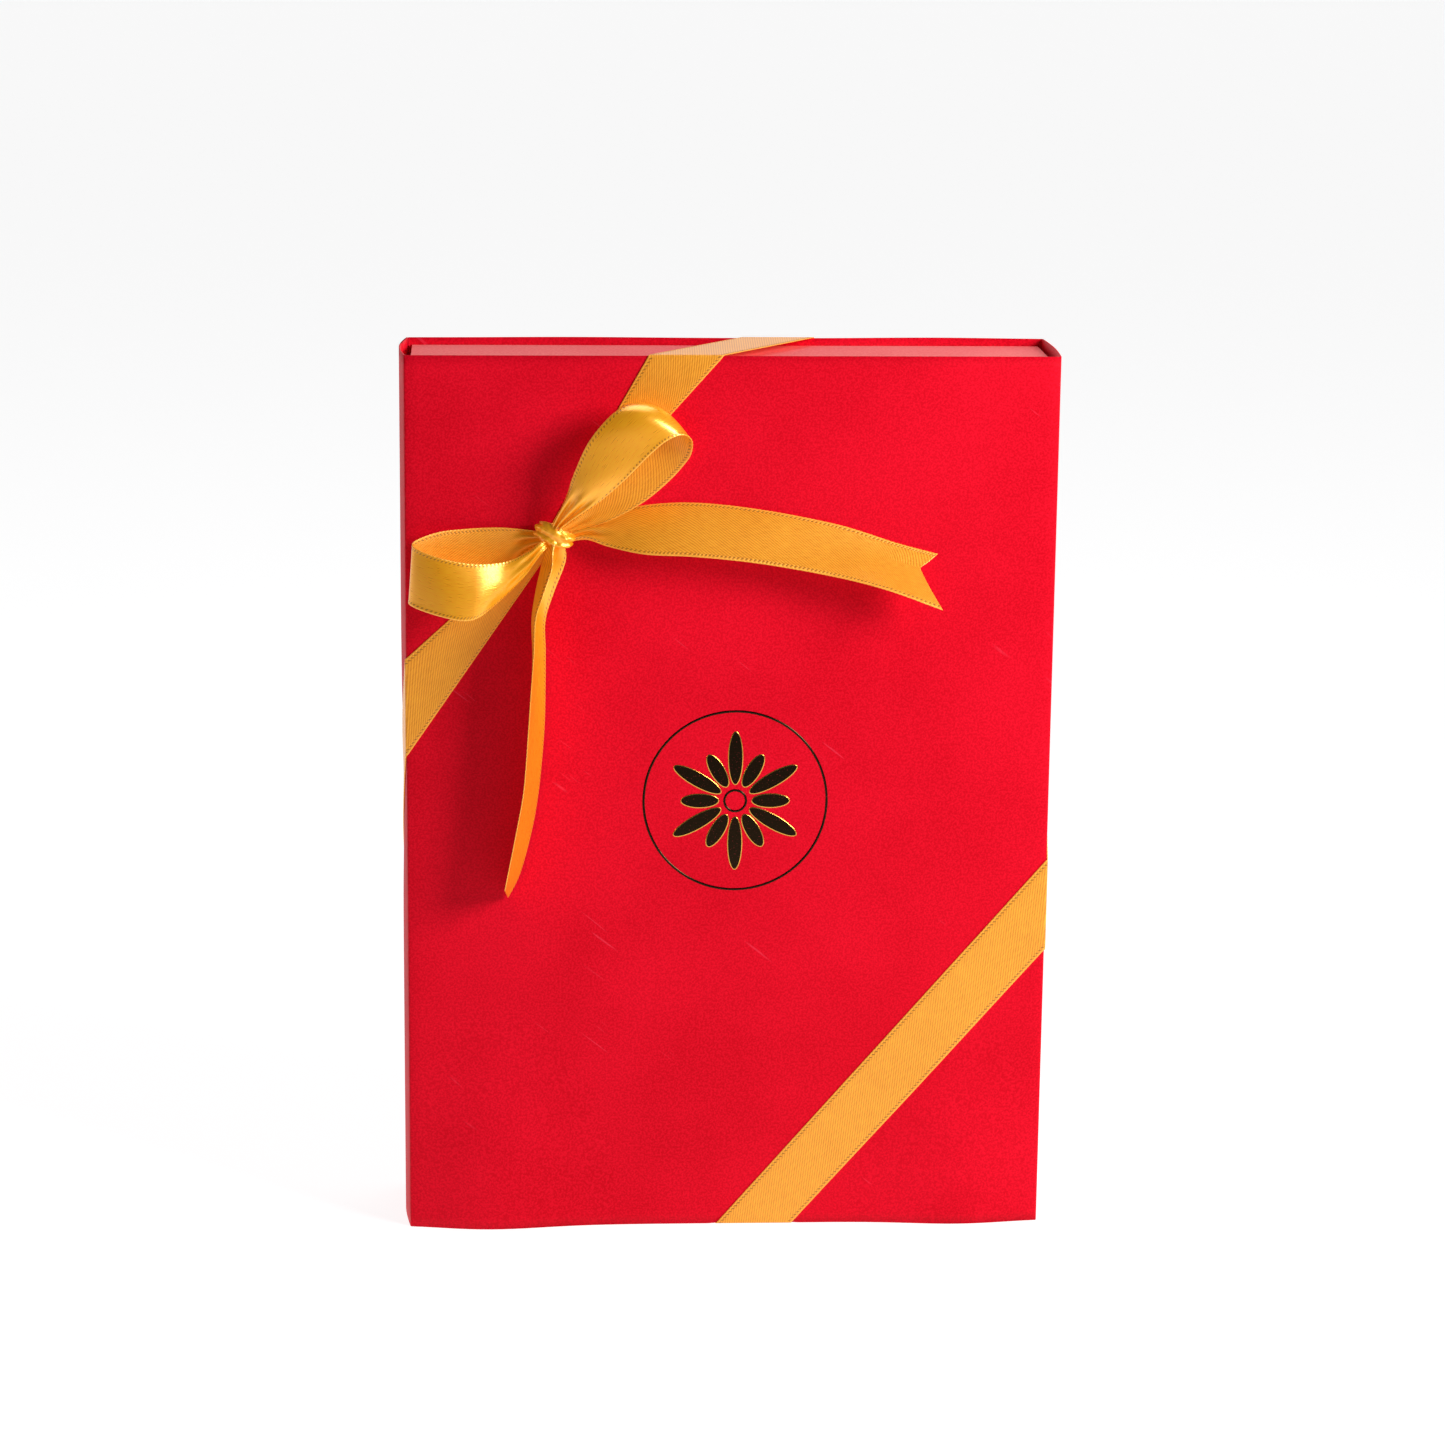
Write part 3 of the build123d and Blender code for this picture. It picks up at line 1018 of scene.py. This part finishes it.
@dataclass(frozen=True)
class Band:
    """One loop or tail, as cuts across the ribbon in millimetres from the knot.

    A cut is (first edge, second edge, bulge): each edge is right, out and up from the knot, and
    the bulge is how far the middle stands off the straight line between them, most at the share
    bulge_peak across. pleats is how many pleats take up the spare width, none deeper than
    deepest_pleat. notch is a swallowtail's depth, and notch_at where it is across.
    """

    name: str
    node: str
    length: float
    held: Held
    cuts: tuple[tuple[Place, Place, float], ...]
    pleats: float = 2.5
    deepest_pleat: float = 1.7
    notch: float = 0.0
    notch_at: float = 0.5
    turned: bool = False
    bulge_peak: float = 0.5

    def shape(self, knot: Vector, width: float) -> Surface:
        """The band's surface.

        Args:
            knot: Where the cuts are measured from.
            width: The ribbon's width.

        Returns:
            A function of (0 to 1 along, 0 to 1 across) that gives a point.
        """
        firsts = [knot + Vector((x, -out, up)) * MM for (x, out, up), _, _ in self.cuts]
        seconds = [knot + Vector((x, -out, up)) * MM for _, (x, out, up), _ in self.cuts]
        bulges = [Vector((bulge * MM, 0, 0)) for _, _, bulge in self.cuts]
        middles = [(first + second) / 2 for first, second in zip(firsts, seconds)]
        walk = [0.0]
        for here, there in zip(middles, middles[1:]):
            walk.append(walk[-1] + (there - here).length)
        total = walk[-1]
        power = math.log(0.5) / math.log(self.bulge_peak)

        def where(along: float) -> float:
            """Find a place among the cuts.

            Args:
                along: 0 to 1 along the band.

            Returns:
                The cut's number, with a fraction.
            """
            reach = min(max(along, 0.0), 1.0) * total
            index = max(i for i, start in enumerate(walk[:-1]) if reach >= start - SAME)
            return index + (reach - walk[index]) / (walk[index + 1] - walk[index])

        def point(along: float, across: float) -> Vector:
            """Shape the band.

            Args:
                along: 0 to 1 along the band.
                across: 0 to 1 over its width.

            Returns:
                The point.
            """
            if self.notch:
                peak = self.notch_at
                share = across / peak if across < peak else (1 - across) / (1 - peak)
                pulled = self.notch * MM * min(1.0, share) / self.length
                along = along - pulled * smooth_step((along - 0.8) / 0.2)
            at = where(along)
            first, second = through(firsts, at), through(seconds, at)
            ahead = through(middles, min(at + 0.02, len(middles) - 1.0))
            behind = through(middles, max(at - 0.02, 0.0))
            chord = second - first
            normal = chord.cross(ahead - behind).normalized()
            bulge = through(bulges, at).x
            arch = math.sin(math.pi * across ** power)
            slack = max(0.0, width ** 2 - chord.length_squared - 4 * bulge ** 2)
            depth = min(math.sqrt(slack) / (4 * self.pleats), self.deepest_pleat * MM)
            depth *= smooth_step((0.75 * width - chord.length) / (0.45 * width))
            wave = 0.6 + 0.4 * math.cos(9 * along)
            fold = depth * math.sin(math.tau * self.pleats * across) * wave
            return first + chord * across + normal * (bulge * arch + fold)

        return point

    def build(self, ribbon: Ribbon, knot: Vector) -> None:
        """Weave the band at the knot.

        Args:
            ribbon: What it is cut from.
            knot: Where the cuts are measured from.
        """
        share = 1 - 0.5 * self.notch * MM / self.length
        ribbon.strip(self.name, self.length, self.shape(knot, ribbon.width), self.held,
                     ["bow_knot_wrap"], [self.node], self.turned, share)


LEFT_LOOP = Band(
    "bow_loop_left_satin", "bow_loop_left", 116 * MM, Held.GATHERED,
    (
        ((-1.5, 3.4, 0.8), (-1.5, 3.6, -1.8), 0.0),
        ((-5.5, 2.8, 1.6), (-5.5, 2.4, -3.4), 0.3),
        ((-10.0, 1.8, 2.1), (-10.0, 1.6, -6.4), 0.6),
        ((-17.6, 1.6, 2.8), (-18.0, 1.6, -13.4), 0.4),
        ((-28.6, 2.6, 2.6), (-29.6, 1.8, -17.2), 0.0),
        ((-39.2, 6.0, 1.8), (-40.6, 4.5, -18.1), 0.0),
        ((-46.9, 11.5, -1.1), (-48.2, 11.5, -21.1), 0.0),
        ((-38.7, 15.4, -4.7), (-36.9, 18.0, -24.5), 0.4),
        ((-26.6, 14.0, -7.2), (-27.0, 17.6, -25.6), 1.0),
        ((-15.6, 9.8, -7.2), (-19.0, 12.4, -21.0), 1.5),
        ((-8.5, 8.2, -4.2), (-10.2, 8.4, -13.2), 1.2),
        ((-4.6, 7.8, -1.4), (-4.6, 7.0, -5.6), 0.6),
        ((-1.5, 5.6, -0.6), (-1.5, 5.2, -2.6), 0.0),
    ),
    turned=True,
)

UPPER_LOOP = Band(
    "bow_loop_upper_satin", "bow_loop_upper", 118 * MM, Held.GATHERED,
    (
        ((-0.4, 5.0, 1.6), (1.6, 5.6, 0.8), 0.0),
        ((0.4, 6.2, 5.0), (3.4, 7.4, 4.0), 0.4),
        ((2.8, 8.5, 10.8), (8.0, 10.0, 7.8), 1.4),
        ((4.9, 10.8, 16.4), (14.4, 12.8, 12.8), 1.8),
        ((6.5, 12.6, 22.1), (22.9, 15.5, 20.7), 1.5),
        ((11.0, 14.8, 32.9), (31.8, 17.0, 30.0), 0.8),
        ((16.6, 15.0, 40.4), (37.7, 16.6, 34.8), 1.8),
        ((21.4, 13.2, 44.4), (42.8, 14.6, 36.2), 3.4),
        ((25.2, 9.4, 45.4), (46.0, 10.6, 33.6), 4.2),
        ((26.6, 5.2, 41.0), (45.8, 7.0, 28.4), 2.6),
        ((23.6, 2.6, 33.6), (43.0, 4.8, 23.8), 0.8),
        ((18.4, 2.0, 25.6), (38.3, 3.6, 18.5), 0.0),
        ((12.4, 2.0, 17.8), (30.7, 3.2, 12.0), 0.0),
        ((8.0, 2.2, 11.0), (21.3, 3.6, 6.6), 0.4),
        ((4.0, 2.8, 5.6), (13.0, 3.8, 3.4), 0.8),
        ((1.4, 3.6, 2.4), (4.6, 4.2, 1.2), 0.0),
    ),
    bulge_peak=0.42,
    turned=True,
)

RIGHT_TAIL = Band(
    "bow_tail_right_satin", "bow_tail_right", 134 * MM, Held.HUNG,
    (
        ((1.4, 3.0, 0.4), (1.4, 3.6, -1.2), 0.0),
        ((5.0, 2.4, 1.8), (5.6, 4.0, -1.4), 0.2),
        ((12.3, 1.6, 4.6), (11.5, 5.6, -0.6), 0.6),
        ((20.7, 1.2, 8.0), (18.8, 8.6, -2.5), 1.0),
        ((32.5, 1.2, 10.6), (30.8, 12.1, -4.4), 1.2),
        ((48.6, 1.4, 11.2), (47.2, 12.8, -5.1), 0.9),
        ((70.5, 1.4, 8.8), (68.6, 13.1, -7.3), 0.4),
        ((96.3, 1.4, 3.7), (93.4, 14.0, -11.5), -0.6),
        ((116.0, 1.4, -2.5), (111.6, 16.0, -15.8), -0.8),
        ((130.0, 1.6, -6.2), (130.4, 16.5, -22.6), -0.4),
    ),
    notch=7.5,
    notch_at=0.34,
)

DOWN_TAIL = Band(
    "bow_tail_down_satin", "bow_tail_down", 127 * MM, Held.HUNG,
    (
        ((2.6, 2.6, 0.0), (0.4, 6.4, 0.2), -0.3),
        ((3.6, 2.4, -3.0), (-0.4, 8.0, -2.6), -3.4),
        ((4.2, 1.6, -8.6), (-0.6, 11.0, -9.6), -5.6),
        ((0.4, 1.4, -19.0), (-3.4, 15.4, -17.4), -4.4),
        ((-2.6, 1.2, -28.9), (-6.0, 17.9, -25.4), -2.8),
        ((-2.6, 1.2, -40.0), (-6.6, 19.0, -36.6), -2.0),
        ((-2.7, 1.2, -54.2), (-7.6, 19.5, -50.0), -1.2),
        ((-3.1, 1.2, -67.7), (-8.5, 19.7, -63.3), -0.4),
        ((-4.9, 1.2, -87.7), (-10.0, 19.8, -83.0), 0.0),
        ((-7.3, 1.2, -102.1), (-12.4, 19.7, -97.2), 0.0),
        ((-11.3, 1.2, -117.3), (-15.3, 18.9, -112.4), 0.0),
        ((-15.4, 1.2, -126.0), (-16.5, 17.8, -119.0), 0.0),
    ),
    turned=True,
)


@dataclass
class Knot:
    """The tight wrap at the middle of the bow, over a lumpy core of gathered ribbon.

    Sizes are in metres. core is the core's half sizes, as shares of length, depth and band.
    """

    centre: Vector
    length: float = 13.2 * MM
    depth: float = 7.6 * MM
    band: float = 6.4 * MM
    slant: float = 19.0
    pleats: float = 2.0
    pleat_depth: float = 0.46 * MM
    lump_height: float = 0.9 * MM
    crumple_height: float = 0.45 * MM
    rounding: float = 1.1 * MM
    sway: float = 0.5 * MM
    lift: float = 1.2 * MM
    core: Place = (0.43, 0.36, 0.45)
    columns: int = 96
    rows: int = 28

    def place(self, turn: float, across: float) -> Vector:
        """A point of the wrap.

        Args:
            turn: 0 to 1 round the wrap, from its left end over the front.
            across: 0 to 1 over its width.

        Returns:
            The point.
        """
        angle = math.tau * turn
        pinch = 0.78 + 0.22 * math.sin(angle) ** 2
        side = (across - 0.5) * self.band * pinch
        crease = math.sin(math.tau * self.pleats * across + 1.3 * math.sin(angle + 0.6))
        lump = noise.noise(Vector((4 * turn, 3.2 * across, 7.0)))
        crumple = noise.noise(Vector((22 * turn, 5 * across, 3.0)))
        swell = self.pleat_depth * crease
        swell += self.lump_height * lump + self.crumple_height * crumple
        swell -= self.rounding * (2 * abs(across - 0.5)) ** 3
        flat = Vector((
            -(self.length / 2 + swell) * math.cos(angle),
            -(self.depth / 2 + swell) * math.sin(angle),
            side + self.sway * math.sin(2 * angle) + self.lift,
        ))
        return self.centre + Matrix.Rotation(math.radians(self.slant), 3, "Y") @ flat

    def build(self, ribbon: Ribbon) -> None:
        """Wrap the knot.

        Args:
            ribbon: What it is cut from.
        """
        mesh = bmesh.new()
        bmesh.ops.create_grid(mesh, x_segments=self.columns, y_segments=self.rows, size=0.5)
        weave = mesh.loops.layers.uv.new(WEAVE_MAP)
        round_it = math.pi * (self.length + self.depth) / 2
        for face in mesh.faces:
            for loop in face.loops:
                along, across = loop.vert.co.x + 0.5, loop.vert.co.y + 0.5
                loop[weave].uv = (along * round_it / ribbon.width, 0.1 + 0.9 * across)
        for vert in mesh.verts:
            vert.co = self.place(vert.co.x + 0.5, vert.co.y + 0.5)
        bmesh.ops.remove_doubles(mesh, verts=mesh.verts[:], dist=0.01 * MM)
        wrapped = set(mesh.faces)
        core = bmesh.ops.create_uvsphere(mesh, u_segments=32, v_segments=16, radius=1.0)["verts"]
        size = Vector((self.length, self.depth, self.band)) * Vector(self.core)
        turn = Matrix.Rotation(math.radians(self.slant), 3, "Y")
        for vert in core:
            lump = 1 + 0.16 * noise.noise(vert.co * 2.4)
            vert.co = self.centre + turn @ (vert.co * size * lump)
        inside = [face for face in mesh.faces if face not in wrapped]
        bmesh.ops.recalc_face_normals(mesh, faces=inside)
        piece = finished(mesh, "bow_knot_wrap", "ribbon", [ribbon.face, ribbon.reverse])
        solidify(piece, ribbon.thickness, 0, back=1)
        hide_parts("bow_knot")


# --- Studio ---


@dataclass(frozen=True)
class Studio:
    """The pale floor, the soft lights and the camera.

    Places are in metres, and the lens and sensor in millimetres. The surroundings are dim in
    front and overhead, and bright behind and beside the box, near the horizon.
    """

    eye: Place = (-0.0799, -1.3242, 0.4832)
    ahead: Place = (0.05774, 0.97237, -0.22619)
    upward: Place = (0.00294, 0.22640, 0.97403)
    lens: float = 97.83
    sensor: float = 36.0
    clip: tuple[float, float] = (0.05, 100.0)
    floor: float = 60.0
    dim: Colour = (0.06, 0.06, 0.06)
    bright: Colour = (0.97, 0.97, 0.975)

    def camera(self) -> None:
        """Set up the camera."""
        data = bpy.data.cameras.new("camera")
        data.lens, data.sensor_width = self.lens, self.sensor
        data.clip_start, data.clip_end = self.clip
        camera = bpy.data.objects.new("camera", data)
        ahead, upward = Vector(self.ahead).normalized(), Vector(self.upward).normalized()
        right = ahead.cross(upward).normalized()
        upward = right.cross(ahead)
        turn = Matrix((right, upward, -ahead)).transposed().to_4x4()
        camera.matrix_world = Matrix.Translation(self.eye) @ turn
        bpy.context.scene.collection.objects.link(camera)
        bpy.context.scene.camera = camera

    def light(self, name: str, place: Place, target: Place, size: float, power: float) -> None:
        """Hang one square soft box.

        Args:
            name: The light's name.
            place: Where it hangs.
            target: What it faces.
            size: Its side.
            power: Its power in watts.
        """
        data = bpy.data.lights.new(name, "AREA")
        data.size, data.energy = size, power
        box = bpy.data.objects.new(name, data)
        box.location = place
        box.rotation_euler = (Vector(target) - Vector(place)).to_track_quat("-Z", "Y").to_euler()
        bpy.context.scene.collection.objects.link(box)

    def sheet(self, name: str, material: bpy.types.Material) -> None:
        """Lay one sheet of studio paper on the ground.

        Args:
            name: The sheet's name.
            material: Its paper.
        """
        mesh = bmesh.new()
        bmesh.ops.create_grid(mesh, x_segments=8, y_segments=8, size=self.floor / 2)
        data = bpy.data.meshes.new(name)
        mesh.to_mesh(data)
        mesh.free()
        paper = bpy.data.objects.new(name, data)
        data.materials.append(material)
        bpy.context.scene.collection.objects.link(paper)

    def build(self) -> None:
        """Put up the paper and hang the lights."""
        scene = bpy.context.scene
        scene.view_settings.view_transform = "Standard"
        scene.world = bpy.data.worlds.new("studio")
        sky = Graph(scene.world, "Background")
        _, back, up = sky.axes(sky.node("ShaderNodeTexCoord", output="Generated"))
        lit = back.ramp(-0.3, 0.1) * (1 - up.ramp(0.25, 0.7))
        sky.feed(sky.shader.inputs["Color"], sky.mix(lit, (*self.dim, 1.0), (*self.bright, 1.0)))
        self.sheet("studio_floor", StudioPaper(glow=0.86).material("studio_paper"))
        self.light("key", place=(0.56, -0.42, 0.52), target=(0, 0, 0.15), size=0.34, power=6.9)
        self.light("top", place=(0.1, 0.5, 1.7), target=(0, 0.1, 0), size=1.0, power=9.0)
        self.camera()


# --- Assembly ---


def dress_tray() -> None:
    """Give the tray's boards, stays, wrapping and liner, and the sleeve's tape, their finishes."""
    board = PulpBoard((151, 142, 128), (96, 88, 76)).material("raw_greyboard")
    gummed = PulpBoard((206, 178, 132), (168, 132, 86), 0.7).material("raw_gummed_paper")
    wrap = FeltedCard((244, 100, 104), (254, 132, 130), scuffs=0.2, roughness=0.7, shine=0.08)
    liner = FeltedCard((234, 74, 80), (248, 104, 106), scuffs=0.1)
    finishes = {
        "tray_wrap": wrap.material("red_wrap_paper"),
        "tray_liner": liner.material("liner_card"),
        "seam_tape": ClearTape().material("clear_tape"),
    }
    for name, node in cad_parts.items():
        if name.startswith("tray_stay"):
            finishes[name] = gummed
        elif name.startswith("tray_wall") or name == "tray_base_board":
            finishes[name] = board
        if name in finishes:
            node.data.materials.clear()
            node.data.materials.append(finishes[name])
            log.info("%s: %s", name, finishes[name].name)


def main() -> None:
    """Build and dress the whole gift box."""
    logging.basicConfig(level=logging.INFO, format="%(message)s")
    Studio().build()
    dress_tray()
    low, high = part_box("sleeve")
    knot_low, knot_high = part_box("bow_knot")
    knot_middle = (knot_low + knot_high) / 2
    sleeve = Sleeve(low, high)
    face = Satin(width=20 * MM, body=(255, 178, 26), valley_shade=(234, 134, 4), twill=0.2,
                 roughness=0.3, coat=0.8, lustre=0.42)
    reverse = Satin(width=20 * MM, body=(255, 178, 48), valley_shade=(196, 100, 8), twill=0.74,
                    roughness=0.4, coat=0.25, lustre=0.28)
    ribbon = Ribbon(face.material("satin_face"), reverse.material("satin_reverse"))
    knot = Vector((knot_middle.x, low.y, knot_middle.z))
    run = RibbonRun(ribbon, sleeve, knot)
    card = FeltedCard((206, 2, 26), (238, 14, 42), grain_size=0.7 * MM)
    reach = 13.5 * MM
    notches = [(run.bottom_front, low.y, reach), (run.bottom_back, high.y, reach)]
    sleeve.build(card.material("red_sleeve_card"), notches)
    # Painted reflection: the rosette's face is dark foil, standing in for the dark surroundings
    # that a gold mirror foil reflects.
    dark = Foil((46, 34, 22), roughness=0.16).material("foil_painted_dark_reflection")
    bright = Foil((226, 170, 78), roughness=0.22).material("foil_gold")
    Ornament(Vector((2 * MM, low.y, 153 * MM))).build(dark, bright)
    run.build()
    for band in (LEFT_LOOP, UPPER_LOOP, RIGHT_TAIL, DOWN_TAIL):
        band.build(ribbon, knot)
    Knot(knot_middle).build(ribbon)


if __name__ == "__main__":
    main()
